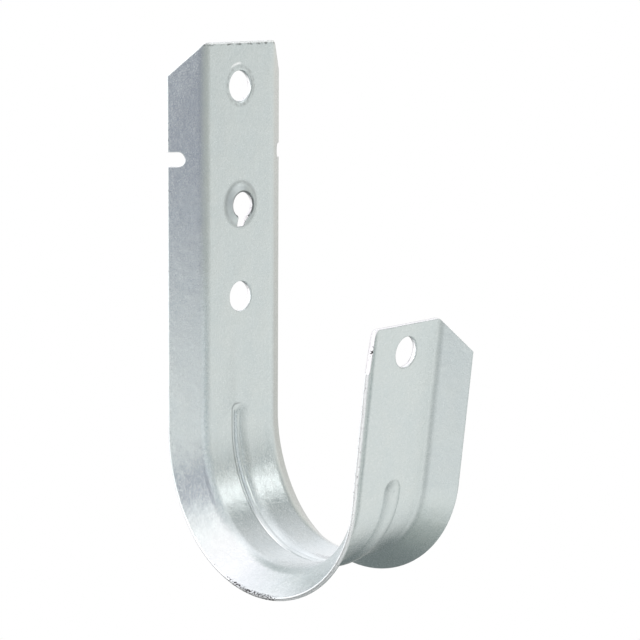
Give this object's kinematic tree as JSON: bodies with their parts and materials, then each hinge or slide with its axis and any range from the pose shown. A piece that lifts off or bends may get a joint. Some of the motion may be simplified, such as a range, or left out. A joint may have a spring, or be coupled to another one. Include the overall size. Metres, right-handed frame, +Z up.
{
  "type": "j hook cable support",
  "caption": "J-shaped cable support folded from galvanised sheet, with flared side flanges, a stiffening bead, plain fixing holes and a split thread impression.",
  "frame": {"origin": "centre of the top hole, on the face that lies on the wall", "axes": "+X across the strip to the right as seen from the front, +Y into the wall, +Z up along the tall leg"},
  "size_m": [0.0376, 0.0619, 0.1255],
  "materials": {
    "galvanised_steel": "galvanised, satin with a fine mottle"
  },
  "bodies": {
    "root": {"j_hook": "galvanised_steel"}
  },
  "joints": []
}
